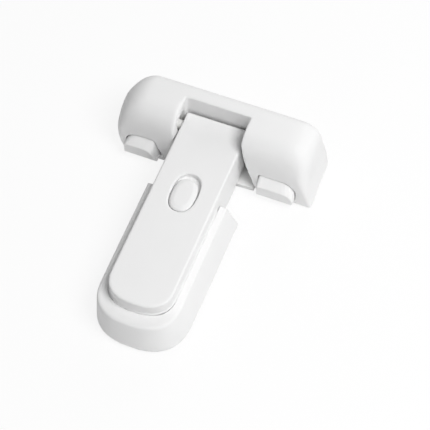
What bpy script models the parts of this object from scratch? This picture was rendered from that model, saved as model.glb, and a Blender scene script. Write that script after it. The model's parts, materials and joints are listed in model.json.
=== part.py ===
"""A T-shaped refrigerator safety lock, in metres, +Z up off the doors.

The head is stuck to one door and the base to the other. The arm turns in the head on two round-nosed
bolts, which the finger buttons draw back, and a hook under the oval thumb piece holds it to the base.
The origin lies on the mounting surface, straight under the arm's pivot axis. +Y runs from base to head.
"""
import math

import bmesh
import bpy
from mathutils import Matrix, Vector

# Clearances
GAP = 0.0003
GLUE_GAP = 0.0002
SWING_GAP = 0.0004
PIN_CLEARANCE = 0.0002

# Arm
ARM_WIDTH = 0.0250
ARM_SIDE_DRAFT = 0.0002
ARM_TOP = 0.0195
ARM_REACH = 0.0778
ARM_TAIL = 0.0047
ARM_END_DEPTH = 0.0105
ARM_WALL = 0.0020
ARM_EDGE_RADIUS = 0.0006
ARM_TAIL_RADIUS = 0.0010
ARM_SKIRT_RISE = 0.0022
ARM_PLATE_THICKNESS = 0.0015
END_POWER = 2.5

# Pivot and bolts
PIVOT_DROP = 0.0033
PIN_RADIUS = 0.0020
PIN_ENGAGEMENT = 0.0023
PIVOT_BOSS_RADIUS = 0.0032
PIVOT_BOSS_LENGTH = 0.0030
BOLT_SIZE = 0.0060
BOLT_LENGTH = 0.0110
BOLT_LEG_DROP = 0.0062
BOLT_STROKE = 0.0028

# Bolt springs
SPRING_RADIUS = 0.0017
SPRING_WIRE_RADIUS = 0.0003
SPRING_TURNS = 4
SPRING_POINTS_PER_TURN = 9
SPRING_NUB_RADIUS = 0.0010
SPRING_NUB_LENGTH = 0.0022

# Head
LEFT_END = 0.0380
RIGHT_END = 0.0400
LEFT_FOOT_TUCK = 0.0039
RIGHT_FOOT_FLARE = 0.0026
FOOT_HEIGHT = 0.0130
HEAD_RISE = 0.0081
HEAD_FRONT = 0.0087
HEAD_WALL = 0.0020
BRIDGE_DEPTH = 0.0077
DOME_DEPTH = 0.0117
DOME_POWER = 3.0
BACK_RADIUS = 0.0055
LEFT_BACK_CORNER = 0.0120
RIGHT_BACK_CORNER = 0.0032
LEFT_BACK_CORNER_FOOT = 0.0035
RIGHT_BACK_CORNER_FOOT = 0.0020
LEFT_FRONT_CORNER = 0.0050
RIGHT_FRONT_CORNER = 0.0040
FRONT_CORNER_FOOT = 0.0007
CORNER_HEIGHT = 0.0160
ROLL_START = 0.0275
END_ROLL_HEIGHT = 0.0121
LEFT_ROLL_POWER = 1.85
RIGHT_ROLL_POWER = 3.0
CREST_WIDTH = 0.0010
LEFT_MOUTH_SPREAD = 0.0045
RIGHT_MOUTH_SPREAD = 0.0076
MOUTH_TOP_DROP = 0.0031
WINDOW_HEADROOM = 0.0040
HEAD_PLATE_THICKNESS = 0.0020
TONGUE_REACH = 0.0010

# Finger buttons
BUTTON_INSET = 0.0082
LEFT_BUTTON_WIDTH = 0.0120
RIGHT_BUTTON_WIDTH = 0.0145
BUTTON_TOP = 0.0122
BUTTON_FOOT = 0.0031
BUTTON_REACH = 0.0026
BUTTON_FACE_HEIGHT = 0.0058
BUTTON_SLOPE_DEPTH = 0.0033
BUTTON_CORNER = 0.0055
BUTTON_FACE_CORNER = 0.0044
BUTTON_SMALL_CORNER = 0.0014
LEFT_BUTTON_SPLAY = 0.0018
RIGHT_BUTTON_SPLAY = 0.0002
BUTTON_FLANGE = 0.0006
BUTTON_FLANGE_THICKNESS = 0.0012

# Thumb piece and hook
RECESS_LENGTH = 0.0165
RECESS_WIDTH = 0.0103
RECESS_DEPTH = 0.0022
RECESS_FLOOR = 0.0016
RECESS_LEAD = 0.0018
SLIDER_LENGTH = 0.0140
SLIDER_WIDTH = 0.0094
SLIDER_CROWN = 0.0006
SLIDER_STROKE = 0.0020
STEM_WIDTH = 0.0036
STEM_LENGTH = 0.0056
CARRIAGE_WIDTH = 0.0120
CARRIAGE_LENGTH = 0.0145
CARRIAGE_THICKNESS = 0.0018
HOOK_WIDTH = 0.0080
HOOK_THICKNESS = 0.0016
HOOK_REST_GAP = 0.0004
DETENT_THICKNESS = 0.0004
DETENT_BUMP = 0.0011

# Base
LEDGE_DROP = 0.0055
LEDGE_WIDTH = 0.0030
LEDGE_END = 0.0055
BASE_START = 0.0269
BASE_FLARE = 0.0028
BASE_LEAN = 0.0012
BASE_START_FLARE = 0.0023
BASE_END_FLARE = 0.0034
LEDGE_EDGE_RADIUS = 0.0005
BASE_WALL = 0.0016
BASE_END_DEPTH = 0.0130
BASE_FOOT_END_DEPTH = 0.0173
BASE_RIM = 0.0007
BASE_PLATE_THICKNESS = 0.0014
CATCH_WIDTH = 0.0100
CATCH_LIP = 0.0020
CATCH_THICKNESS = 0.0015

# Pads and screws
PAD_THICKNESS = 0.0008
PAD_MARGIN = 0.0006
SCREW_RADIUS = 0.0007
SCREW_HEAD_RADIUS = 0.0013
SCREW_HEAD_HEIGHT = 0.0009
SCREW_GRIP = 0.0050
POST_RADIUS = 0.0026
ARM_SCREW_SPREAD = 0.0142
ARM_HEAD_SCREW = 0.0155
ARM_END_SCREW = 0.0150
RAIL_START_SCREW = 0.0075
RAIL_END_SCREW = 0.0190

# Smoothness
END_STEPS = 12
ARC_STEPS = 5
ROLL_STEPS = 12
SECTION_STEPS = 16
BACK_STEPS = 6
CIRCLE_STEPS = 20
SCREW_STEPS = 12

# Far outside the object, for cutters that run past it
BEYOND = 0.060

# Shares of a slope that a cavity or a plate inside it follows
CAVITY_TUCK = 0.7
BED_SHARE = 0.8

# Heights above the mounting surface
PLATE_FOOT = PAD_THICKNESS + GLUE_GAP
HEAD_PLATE_TOP = PLATE_FOOT + HEAD_PLATE_THICKNESS
BASE_PLATE_TOP = PLATE_FOOT + BASE_PLATE_THICKNESS
PIVOT_HEIGHT = ARM_TOP - PIVOT_DROP
LEDGE_TOP = ARM_TOP - LEDGE_DROP
HEAD_TOP = ARM_TOP + HEAD_RISE
KEEL_FOOT = BASE_PLATE_TOP + SWING_GAP
TAIL_SWING = PIVOT_HEIGHT - HEAD_PLATE_TOP - SWING_GAP
ARM_CEILING = ARM_TOP - ARM_WALL
RECESS_FLOOR_TOP = ARM_TOP - RECESS_DEPTH
RECESS_FLOOR_FOOT = RECESS_FLOOR_TOP - RECESS_FLOOR
CARRIAGE_TOP = RECESS_FLOOR_FOOT - GAP
CARRIAGE_FOOT = CARRIAGE_TOP - CARRIAGE_THICKNESS

# Widths and lengths that follow
ARM_HALF = ARM_WIDTH / 2
ARM_FOOT_HALF = ARM_HALF + ARM_SIDE_DRAFT
SLOT_HALF = ARM_FOOT_HALF + GAP
END = {-1: LEFT_END, 1: RIGHT_END}
FOOT = {-1: -LEFT_FOOT_TUCK, 1: RIGHT_FOOT_FLARE}
BACK_CORNER = {-1: LEFT_BACK_CORNER, 1: RIGHT_BACK_CORNER}
BACK_CORNER_FOOT = {-1: LEFT_BACK_CORNER_FOOT, 1: RIGHT_BACK_CORNER_FOOT}
FRONT_CORNER = {-1: LEFT_FRONT_CORNER, 1: RIGHT_FRONT_CORNER}
ROLL_POWER = {-1: LEFT_ROLL_POWER, 1: RIGHT_ROLL_POWER}
KEEL_INSET = math.hypot(ARM_REACH, PIVOT_HEIGHT - KEEL_FOOT) - ARM_REACH + GAP
TAIL_CORNER = math.hypot(ARM_TAIL - ARM_TAIL_RADIUS, PIVOT_DROP - ARM_TAIL_RADIUS) + ARM_TAIL_RADIUS
SLOT_BACK = TAIL_CORNER + SWING_GAP
HEAD_BACK = SLOT_BACK + BRIDGE_DEPTH
CREST_MIDDLE = (DOME_DEPTH - HEAD_FRONT + HEAD_BACK - BACK_RADIUS) / 2
TRAY_END = ARM_REACH + SWING_GAP
MOUTH_TOP = HEAD_TOP - MOUTH_TOP_DROP
MOUTH_SPREAD = {-1: LEFT_MOUTH_SPREAD, 1: RIGHT_MOUTH_SPREAD}
MOUTH_SHARE_AT_PLATE = 1 - (HEAD_PLATE_TOP + GAP) / MOUTH_TOP
MOUTH_FOOT_HALF = {side: SLOT_HALF + MOUTH_SPREAD[side] * MOUTH_SHARE_AT_PLATE for side in END}
RECESS_CENTRE = -(BASE_START + RECESS_LEAD)
SLIDER_CENTRE = RECESS_CENTRE - (RECESS_LENGTH - SLIDER_LENGTH) / 2 + GAP
CAVITY_END = {side: END[side] + CAVITY_TUCK * min(0.0, FOOT[side]) - HEAD_WALL for side in END}
PLATE_END = {side: END[side] + min(0.0, FOOT[side]) - HEAD_WALL / 2 - GAP for side in END}
CAVITY_BACK = HEAD_BACK - HEAD_WALL
BAY_FRONT = -(HEAD_FRONT - HEAD_WALL)
BUTTON_INNER = SLOT_HALF + BUTTON_INSET
BUTTON_OUTER = {-1: BUTTON_INNER + LEFT_BUTTON_WIDTH, 1: BUTTON_INNER + RIGHT_BUTTON_WIDTH}
BUTTON_SPLAY = {-1: LEFT_BUTTON_SPLAY, 1: RIGHT_BUTTON_SPLAY}
BUTTON_TAIL = BAY_FRONT + HEAD_WALL + BUTTON_FLANGE_THICKNESS
BOLT_INNER = SLOT_HALF + HEAD_WALL + GAP
BOLT_OUTER = BOLT_INNER + BOLT_LENGTH
BOLT_FOOT = PIVOT_HEIGHT - BOLT_SIZE / 2
CAM_LEVEL = BOLT_FOOT - BOLT_LEG_DROP
HOOK_NOSE_TIP = -(BASE_START + CATCH_LIP + HOOK_REST_GAP)
HOOK_NOSE = CATCH_LIP
DETENT_NEAR = CARRIAGE_WIDTH / 2 + GAP + DETENT_THICKNESS
DETENT_FAR = DETENT_NEAR + DETENT_BUMP - GAP
CATCH_TOP = BASE_PLATE_TOP + GAP + 4 * CATCH_THICKNESS
POST_BACK = CAVITY_BACK - POST_RADIUS + GLUE_GAP
HEAD_POST_X = {side: (BUTTON_INNER + POST_RADIUS, BUTTON_OUTER[side] - POST_RADIUS) for side in END}
HEAD_POSTS = [(side * x, POST_BACK) for side in END for x in HEAD_POST_X[side]]
ARM_POST_Y = (-ARM_HEAD_SCREW, ARM_END_SCREW - ARM_REACH)
ARM_POSTS = [(side * ARM_SCREW_SPREAD / 2, y) for side in END for y in ARM_POST_Y]
RAIL_POST_X = ARM_FOOT_HALF + BASE_WALL
RAIL_POST_Y = (-BASE_START - RAIL_START_SCREW, RAIL_END_SCREW - ARM_REACH)
BASE_POSTS = [(side * RAIL_POST_X, y) for side in END for y in RAIL_POST_Y]


def collection(name):
    made = bpy.data.collections.new(name)
    bpy.context.scene.collection.children.link(made)
    return made


def material(name, colour, roughness, metallic=0.0):
    made = bpy.data.materials.new(name)
    made.use_nodes = True
    shader = made.node_tree.nodes["Principled BSDF"]
    shader.inputs["Base Color"].default_value = (*colour, 1.0)
    shader.inputs["Roughness"].default_value = roughness
    shader.inputs["Metallic"].default_value = metallic
    return made


def finished(name, bm, group):
    """Closes a mesh, points its faces outwards and puts it in a collection."""
    bmesh.ops.recalc_face_normals(bm, faces=bm.faces)
    mesh = bpy.data.meshes.new(name)
    bm.to_mesh(mesh)
    bm.free()
    made = bpy.data.objects.new(name, mesh)
    group.objects.link(made)
    return made


def part(name, bm, finish):
    made = finished(name, bm, parts)
    made.data.materials.append(finish)
    made.data.shade_smooth()
    made.data.set_sharp_from_angle(angle=math.radians(35))
    return made


def helper(name, bm):
    made = finished(name, bm, cutters)
    made.hide_render = True
    made.display_type = "WIRE"
    return made


def combine(target, tool, operation):
    step = target.modifiers.new(tool.name, "BOOLEAN")
    step.operation = operation
    step.solver = "EXACT"
    step.object = tool
    return target


def box(low, high):
    bm = bmesh.new()
    size = [b - a for a, b in zip(low, high)]
    middle = [(a + b) / 2 for a, b in zip(low, high)]
    place = Matrix.Translation(middle) @ Matrix.Diagonal((*size, 1.0))
    bmesh.ops.create_cube(bm, size=1.0, matrix=place)
    return bm


def side_box(side, inner, outer, y, z):
    """A box between two distances from the centre plane, on the left (-1) or right (+1) side."""
    x = sorted((side * inner, side * outer))
    return box((x[0], y[0], z[0]), (x[1], y[1], z[1]))


def rod(start, end, radius, steps=CIRCLE_STEPS):
    bm = bmesh.new()
    start, end = Vector(start), Vector(end)
    along = end - start
    turn = along.to_track_quat("Z", "Y").to_matrix().to_4x4()
    place = Matrix.Translation((start + end) / 2) @ turn
    bmesh.ops.create_cone(bm, cap_ends=True, segments=steps, radius1=radius, radius2=radius,
                          depth=along.length, matrix=place)
    return bm


def prism(outline, travel):
    """A flat outline, pulled along a vector."""
    bm = bmesh.new()
    face = bm.faces.new([bm.verts.new(point) for point in outline])
    pulled = bmesh.ops.extrude_face_region(bm, geom=[face])["geom"]
    bmesh.ops.translate(bm, verts=[v for v in pulled if isinstance(v, bmesh.types.BMVert)], vec=travel)
    return bm


def upright(outline, foot, top):
    return prism([(x, y, foot) for x, y in outline], (0, 0, top - foot))


def across(outline, half):
    """A side view outline of (y, z) points, pulled from -half to +half along X."""
    return prism([(-half, y, z) for y, z in outline], (2 * half, 0, 0))


def loft(rings):
    bm = bmesh.new()
    loops = [[bm.verts.new(point) for point in ring] for ring in rings]
    for below, above in zip(loops, loops[1:]):
        for i in range(len(below)):
            j = (i + 1) % len(below)
            bm.faces.new((below[i], below[j], above[j], above[i]))
    bm.faces.new(loops[0])
    bm.faces.new(loops[-1])
    return bm


def arc(centre, radius, start, end, steps=ARC_STEPS):
    """Points of (a, b) round a centre, angles in degrees."""
    angles = [math.radians(start + (end - start) * i / steps) for i in range(steps + 1)]
    return [(centre[0] + radius * math.cos(a), centre[1] + radius * math.sin(a)) for a in angles]


def round_end(half, reach, depth):
    """The rounded -Y end of a plan outline, from +X round to -X."""
    points = []
    for i in range(2 * END_STEPS + 1):
        angle = math.pi * i / (2 * END_STEPS)
        x = half * math.copysign(abs(math.cos(angle)) ** (2 / END_POWER), math.cos(angle))
        points.append((x, depth - reach - depth * math.sin(angle) ** (2 / END_POWER)))
    return points


def arm_plan(half, reach, tail):
    return round_end(half, reach, ARM_END_DEPTH) + [(-half, tail), (half, tail)]


def oval(centre, length, width, inset=0.0):
    half_length, half_width = length / 2 - inset, width / 2 - inset
    points = []
    for i in range(4 * END_STEPS):
        angle = math.tau * i / (4 * END_STEPS)
        x = half_width * math.copysign(abs(math.cos(angle)) ** (2 / END_POWER), math.cos(angle))
        y = half_length * math.copysign(abs(math.sin(angle)) ** (2 / END_POWER), math.sin(angle))
        points.append((x, centre + y))
    return points


def turned(profile, centre):
    """A turned form from (radius, z) pairs about an upright axis at (x, y)."""
    rings = []
    for radius, z in profile:
        turn = [math.tau * i / SCREW_STEPS for i in range(SCREW_STEPS)]
        rings.append([(centre[0] + radius * math.cos(a), centre[1] + radius * math.sin(a), z)
                      for a in turn])
    return loft(rings)


def screw_profile(foot, spare):
    neck = foot + SCREW_HEAD_HEIGHT
    tip = neck + SCREW_GRIP
    return [(SCREW_HEAD_RADIUS + spare, foot - spare), (SCREW_HEAD_RADIUS + spare, foot + spare),
            (SCREW_RADIUS + spare, neck), (SCREW_RADIUS + spare, tip + spare)]


def merged(forms):
    """Several separate solids in one mesh."""
    whole = bmesh.new()
    for form in forms:
        bmesh.ops.recalc_face_normals(form, faces=form.faces)
        loose = bpy.data.meshes.new("loose")
        form.to_mesh(loose)
        form.free()
        whole.from_mesh(loose)
        bpy.data.meshes.remove(loose)
    return whole


def screws(name, points, foot, finish):
    """Self-tapping screws, heads down, numbered from the left."""
    return [part(f"{name}_{i + 1}", turned(screw_profile(foot, 0.0), place), finish)
            for i, place in enumerate(points)]


def screw_holes(name, points, foot):
    return helper(name, merged([turned(screw_profile(foot, GAP), p) for p in points]))


def posts(name, points, foot, top):
    return helper(name, merged([rod((x, y, foot), (x, y, top), POST_RADIUS, SCREW_STEPS)
                                for x, y in points]))


def head_front(z, top=HEAD_TOP):
    """The front of the head: upright at its foot and domed over to its top."""
    return DOME_DEPTH - HEAD_FRONT - DOME_DEPTH * (1 - min(1.0, z / top) ** DOME_POWER) ** (1 / DOME_POWER)


def corner_fall(into, radius):
    """How far a round corner has turned away at a distance into it."""
    into = min(max(0.0, into), radius)
    return radius - math.sqrt(radius ** 2 - into ** 2)


def grown(foot, top, z):
    return foot + (top - foot) * min(1.0, z / CORNER_HEIGHT) ** 2


def head_height(side, station):
    into = min(max(0.0, (station - ROLL_START) / (END[side] - ROLL_START)), 1.0)
    return HEAD_TOP - END_ROLL_HEIGHT * (1 - (1 - into ** ROLL_POWER[side]) ** (1 / ROLL_POWER[side]))


def head_section(side, station):
    """Front points from foot to top, then back points from top to foot, at a distance from the middle."""
    top = head_height(side, station)
    low = math.asin((PLATE_FOOT / top) ** (DOME_POWER / 2))
    ring = []
    for i in range(SECTION_STEPS + 1):
        z = top * math.sin(low + (math.pi / 2 - low) * i / SECTION_STEPS) ** (2 / DOME_POWER)
        corner = grown(FRONT_CORNER_FOOT, FRONT_CORNER[side], z)
        y = head_front(z, top) + corner_fall(station - END[side] + corner, corner)
        ring.append((min(y, CREST_MIDDLE - CREST_WIDTH / 2), z))
    climb = top - BACK_RADIUS - PLATE_FOOT
    back = [(0.0, PLATE_FOOT + climb * i / BACK_STEPS) for i in range(BACK_STEPS)]
    back += [(BACK_RADIUS - y, z) for y, z in arc((0, top - BACK_RADIUS), BACK_RADIUS, 0, 90,
                                                  SECTION_STEPS - BACK_STEPS)]
    for inward, z in reversed(back):
        corner = grown(BACK_CORNER_FOOT[side], BACK_CORNER[side], z)
        y = HEAD_BACK - inward - corner_fall(station - END[side] + corner, corner)
        ring.append((max(y, CREST_MIDDLE + CREST_WIDTH / 2), z))
    return ring


def leaned(side, station, z):
    """The left end draws in towards the door, and the right end spreads."""
    rest = max(0.0, 1.0 - z / FOOT_HEIGHT)
    return side * station * (1.0 + FOOT[side] / END[side] * rest ** 1.4)


def head_form():
    """The crossbar: a section lofted along X, rolled down at both ends."""
    rolled = {}
    for side in END:
        sweep = [math.sin(math.pi / 2 * i / ROLL_STEPS) for i in range(ROLL_STEPS + 1)]
        rolled[side] = [(side, ROLL_START + (END[side] - ROLL_START) * part_way) for part_way in sweep]
    places = rolled[-1][::-1] + rolled[1]
    bm = bmesh.new()
    loops = []
    for side, station in places:
        ring = head_section(side, station)
        loops.append([bm.verts.new((leaned(side, station, z), y, z)) for y, z in ring])
    count = len(loops[0])
    for one, other in zip(loops, loops[1:]):
        for i in range(count):
            j = (i + 1) % count
            bm.faces.new((one[i], one[j], other[j], other[i]))
    for end in (loops[0], loops[-1]):
        for i in range(count // 2 - 1):
            bm.faces.new((end[i], end[i + 1], end[count - 2 - i], end[count - 1 - i]))
    return bm


def mouth(side):
    """The slot's lower front corners are cut away at a slant, so that the slot widens towards the door."""
    top = MOUTH_TOP
    inner = SLOT_HALF - HEAD_WALL / 2
    outer = SLOT_HALF + MOUTH_SPREAD[side]
    deep = -HEAD_FRONT / 8
    bm = bmesh.new()
    points = [(SLOT_HALF, -BEYOND, top), (SLOT_HALF, head_front(top), top), (outer, -BEYOND, 0),
              (outer, -HEAD_FRONT + HEAD_WALL / 2, 0), (SLOT_HALF, deep, 0), (inner, -BEYOND, top),
              (inner, head_front(top), top), (inner, deep, 0), (inner, -BEYOND, 0)]
    made = [bm.verts.new((side * x, y, z)) for x, y, z in points]
    bmesh.ops.convex_hull(bm, input=made)
    return bm


def button_outline(side, top, outer_corner, inner_corner, spare=0.0):
    """The button's outline seen from the front, as (x, z) points."""
    inner, outer, top = BUTTON_INNER - spare, BUTTON_OUTER[side] + spare, top + spare
    points = [(inner - BUTTON_SPLAY[side], BUTTON_FOOT - spare), (outer, BUTTON_FOOT - spare)]
    points += arc((outer - outer_corner, top - outer_corner), outer_corner, 0, 90)
    points += arc((inner + inner_corner, top - inner_corner), inner_corner, 90, 180)
    return [(side * x, z) for x, z in points]


def button_window(side, spare):
    return button_outline(side, BUTTON_TOP, BUTTON_CORNER, BUTTON_SMALL_CORNER, spare)


def button_face(side):
    """The front of a button is lower than its window, and both have their large corner on the right."""
    corners = (BUTTON_FACE_CORNER, BUTTON_SMALL_CORNER)[::side]
    return button_outline(side, BUTTON_FOOT + BUTTON_FACE_HEIGHT, *corners)


def works_plan(side):
    """The space for bolt, spring and button inside one half of the head, as (x, y) points."""
    inner, front, end = BOLT_INNER + 2 * HEAD_WALL, BUTTON_TAIL - 2 * GAP, CAVITY_END[side]
    corner = max(BACK_CORNER[side] - HEAD_WALL, POST_RADIUS)
    cut = FRONT_CORNER[side] / 3
    plan = [(inner, CAVITY_BACK), (inner, front), (end - cut, front), (end, front + cut)]
    plan += arc((end - corner, CAVITY_BACK - corner), corner, 0, 90)
    return [(side * x, y) for x, y in plan]


def head_shell(finish):
    shell = part("head_shell", head_form(), finish)
    combine(shell, helper("cut_slot", box((-SLOT_HALF, -BEYOND, -BEYOND), (SLOT_HALF, SLOT_BACK, BEYOND))),
            "DIFFERENCE")
    recess_top = HEAD_PLATE_TOP + GAP
    bridge = box((-SLOT_HALF + HEAD_WALL, SLOT_BACK + HEAD_WALL, -BEYOND),
                 (SLOT_HALF - HEAD_WALL, CAVITY_BACK, HEAD_TOP - 2 * HEAD_WALL))
    combine(shell, helper("cut_bridge", bridge), "DIFFERENCE")
    plate_bed = upright(head_bed_plan(GAP), -BEYOND, recess_top)
    combine(shell, helper("cut_plate_bed", plate_bed), "DIFFERENCE")
    lip = posts("keep_head_posts", HEAD_POSTS, recess_top, BEYOND)
    ceiling = PIVOT_HEIGHT + BOLT_SIZE / 2 + GAP
    window_top = PIVOT_HEIGHT + PIN_RADIUS + WINDOW_HEADROOM
    half_bolt = BOLT_SIZE / 2 + GAP
    for side, word in SIDES:
        combine(shell, helper(f"cut_mouth_{word}", mouth(side)), "DIFFERENCE")
        works = upright(works_plan(side), -BEYOND, ceiling)
        works = combine(helper(f"cut_works_{word}", works), lip, "DIFFERENCE")
        combine(shell, works, "DIFFERENCE")
        run = side_box(side, SLOT_HALF - HEAD_WALL, BOLT_OUTER, (-half_bolt, half_bolt),
                       (BOLT_FOOT - GAP, window_top))
        combine(shell, helper(f"cut_bolt_run_{word}", run), "DIFFERENCE")
        spare = BUTTON_FLANGE + GAP
        bay = side_box(side, BUTTON_INNER - BUTTON_SPLAY[side] - spare, BUTTON_OUTER[side] + spare,
                       (BAY_FRONT, HEAD_WALL), (HEAD_PLATE_TOP, BUTTON_TOP + spare))
        combine(shell, helper(f"cut_bay_{word}", bay), "DIFFERENCE")
        window = prism([(x, -BEYOND, z) for x, z in button_window(side, GAP)],
                       (0, BEYOND + BAY_FRONT + HEAD_WALL / 2, 0))
        combine(shell, helper(f"cut_button_window_{word}", window), "DIFFERENCE")
    combine(shell, screw_holes("cut_head_screws", HEAD_POSTS, PLATE_FOOT), "DIFFERENCE")
    return shell


def head_bed_plan(spare):
    """The plate's bed in the shell, with its back corners cut off."""
    back = CAVITY_BACK + spare
    right, left = PLATE_END[1] + spare, -PLATE_END[-1] - spare
    cut = LEFT_BACK_CORNER_FOOT
    return [(left, BAY_FRONT - spare), (right, BAY_FRONT - spare), (right, back - cut), (right - cut, back),
            (left + cut, back), (left, back - cut)]


def head_plate_plan(margin):
    """The plate behind the head: wide at the back, set in at the buttons, a bowed tongue under the slot."""
    right, left = PLATE_END[1] - margin, -PLATE_END[-1] + margin
    back = CAVITY_BACK - margin
    cut = LEFT_BACK_CORNER_FOOT
    notch = BAY_FRONT + HEAD_WALL + BOLT_STROKE + margin
    tongue_half = {side: MOUTH_FOOT_HALF[side] - GAP - margin for side in END}
    tongue = HEAD_FRONT + TONGUE_REACH - margin
    bow = TONGUE_REACH / 2
    sweep = [1 - 2 * i / ARC_STEPS for i in range(ARC_STEPS + 1)]
    front = [(tongue_half[1 if part_way > 0 else -1] * part_way, bow * part_way ** 2 - tongue)
             for part_way in sweep]
    plan = [(right - cut, back), (right, back - cut), (right, notch), (tongue_half[1], notch)] + front
    return plan + [(-tongue_half[-1], notch), (left, notch), (left, back - cut), (left + cut, back)]


def head_back_plate(finish):
    plate = part("head_back_plate", upright(head_plate_plan(0.0), PLATE_FOOT, HEAD_PLATE_TOP), finish)
    return combine(plate, screw_holes("cut_head_plate_screws", HEAD_POSTS, PLATE_FOOT), "DIFFERENCE")


def button(side, word, finish):
    """A finger button: sloped cap, retaining flange and the cam wedge that drives the bolt."""
    front = -(HEAD_FRONT + BUTTON_REACH)
    shoulder = front + BUTTON_SLOPE_DEPTH
    full = button_window(side, 0.0)
    outlines = [(front, button_face(side)), (shoulder, full), (BUTTON_TAIL, full)]
    cap = loft([[(x, y, z) for x, z in outline] for y, outline in outlines])
    made = part(f"{word}_button", cap, finish)
    made.modifiers.new("flat_faces", "TRIANGULATE")
    runner = HEAD_PLATE_TOP + GAP
    rear = BAY_FRONT + GAP
    side_view = [(front - GAP, 0), (front - GAP, BEYOND), (BUTTON_TAIL + GAP, BEYOND),
                 (BUTTON_TAIL + GAP, runner), (rear, runner), (rear, 0)]
    combine(made, helper(f"trim_button_{word}", across(side_view, BEYOND)), "INTERSECT")
    flange = side_box(side, BUTTON_INNER - BUTTON_SPLAY[side] - BUTTON_FLANGE,
                      BUTTON_OUTER[side] + BUTTON_FLANGE, (rear, rear + BUTTON_FLANGE_THICKNESS),
                      (runner, BUTTON_TOP + BUTTON_FLANGE))
    combine(made, helper(f"add_flange_{word}", flange), "UNION")
    heel = BUTTON_TAIL - GAP
    reach = BOLT_SIZE / 2 - GLUE_GAP - heel
    wedge = [(BUTTON_INNER, heel), (BUTTON_INNER, heel + reach), (BUTTON_INNER + reach, heel)]
    wedge = upright([(side * x, y) for x, y in wedge], runner, BOLT_FOOT - GAP)
    return combine(made, helper(f"add_wedge_{word}", wedge), "UNION")


def pivot_bolt(side, word, finish):
    """A square bolt with a round nose that enters the arm, and a leg with a slanted face for the cam."""
    half = BOLT_SIZE / 2
    block = side_box(side, BOLT_INNER, BOLT_OUTER, (-half, half), (BOLT_FOOT, PIVOT_HEIGHT + half))
    made = part(f"{word}_pivot_bolt", block, finish)
    cam_sum = BUTTON_INNER + half - GLUE_GAP + GAP * math.sqrt(2)
    near = BUTTON_TAIL + BOLT_STROKE + GAP
    leg = [(cam_sum - half, half), (cam_sum - near, near), (BOLT_OUTER, near), (BOLT_OUTER, half)]
    leg = upright([(side * x, y) for x, y in leg], CAM_LEVEL, BOLT_FOOT + half)
    combine(made, helper(f"add_leg_{word}", leg), "UNION")
    tip = ARM_HALF - PIN_ENGAGEMENT
    nose = rod((side * tip, 0, PIVOT_HEIGHT), (side * (BOLT_INNER + half), 0, PIVOT_HEIGHT), PIN_RADIUS)
    combine(made, helper(f"add_nose_{word}", nose), "UNION")
    nub = rod((side * (BOLT_OUTER - half), 0, PIVOT_HEIGHT),
              (side * (BOLT_OUTER + SPRING_NUB_LENGTH), 0, PIVOT_HEIGHT), SPRING_NUB_RADIUS, SCREW_STEPS)
    return combine(made, helper(f"add_nub_{word}", nub), "UNION")


def coil_points(side):
    start = BOLT_OUTER + GAP + SPRING_WIRE_RADIUS
    end = CAVITY_END[side] - GAP - SPRING_WIRE_RADIUS
    count = SPRING_TURNS * SPRING_POINTS_PER_TURN
    points = []
    for i in range(count + 1):
        turn = math.tau * i / SPRING_POINTS_PER_TURN
        points.append((side * (start + (end - start) * i / count), SPRING_RADIUS * math.cos(turn),
                       PIVOT_HEIGHT + SPRING_RADIUS * math.sin(turn)))
    return points


def least_self_gap(points):
    least = math.inf
    for i, one in enumerate(points):
        for other in points[i + SPRING_POINTS_PER_TURN - 2:]:
            least = min(least, (Vector(one) - Vector(other)).length)
    return least - 2 * SPRING_WIRE_RADIUS


def bolt_spring(side, word, finish):
    points = coil_points(side)
    print(f"{word} bolt spring, least gap to itself {least_self_gap(points) * 1000:.2f} mm")
    curve = bpy.data.curves.new(f"{word}_bolt_spring", "CURVE")
    curve.dimensions = "3D"
    curve.bevel_depth = SPRING_WIRE_RADIUS
    curve.bevel_resolution = 1
    curve.use_fill_caps = True
    spline = curve.splines.new("POLY")
    spline.points.add(len(points) - 1)
    for slot, point in zip(spline.points, points):
        slot.co = (*point, 1.0)
    made = bpy.data.objects.new(f"{word}_bolt_spring", curve)
    made.data.materials.append(finish)
    parts.objects.link(made)
    made.modifiers.new("joined_caps", "WELD").merge_threshold = GAP / 10
    return made


def arm_side_view():
    """The arm seen from the side: skirt between the doors, raised keel in the base, round tail."""
    keel_end = -BASE_START + BASE_START_FLARE + SWING_GAP
    skirt_start = -(HEAD_FRONT + TONGUE_REACH + 2 * SWING_GAP)
    tail_angle = -math.degrees(math.acos(ARM_TAIL / TAIL_SWING))
    view = [(-2 * ARM_REACH, BEYOND), (-2 * ARM_REACH, KEEL_FOOT), (keel_end, KEEL_FOOT),
            (keel_end, ARM_SKIRT_RISE), (skirt_start - SWING_GAP, ARM_SKIRT_RISE),
            (skirt_start, PIVOT_HEIGHT - TAIL_SWING)]
    view += arc((0, PIVOT_HEIGHT), TAIL_SWING, -90, tail_angle)
    corner = (ARM_TAIL - ARM_TAIL_RADIUS, ARM_TOP - ARM_TAIL_RADIUS)
    view += arc(corner, ARM_TAIL_RADIUS, 0, 80)
    return view + [(corner[0] + ARM_TAIL_RADIUS / 6, BEYOND)]


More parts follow.
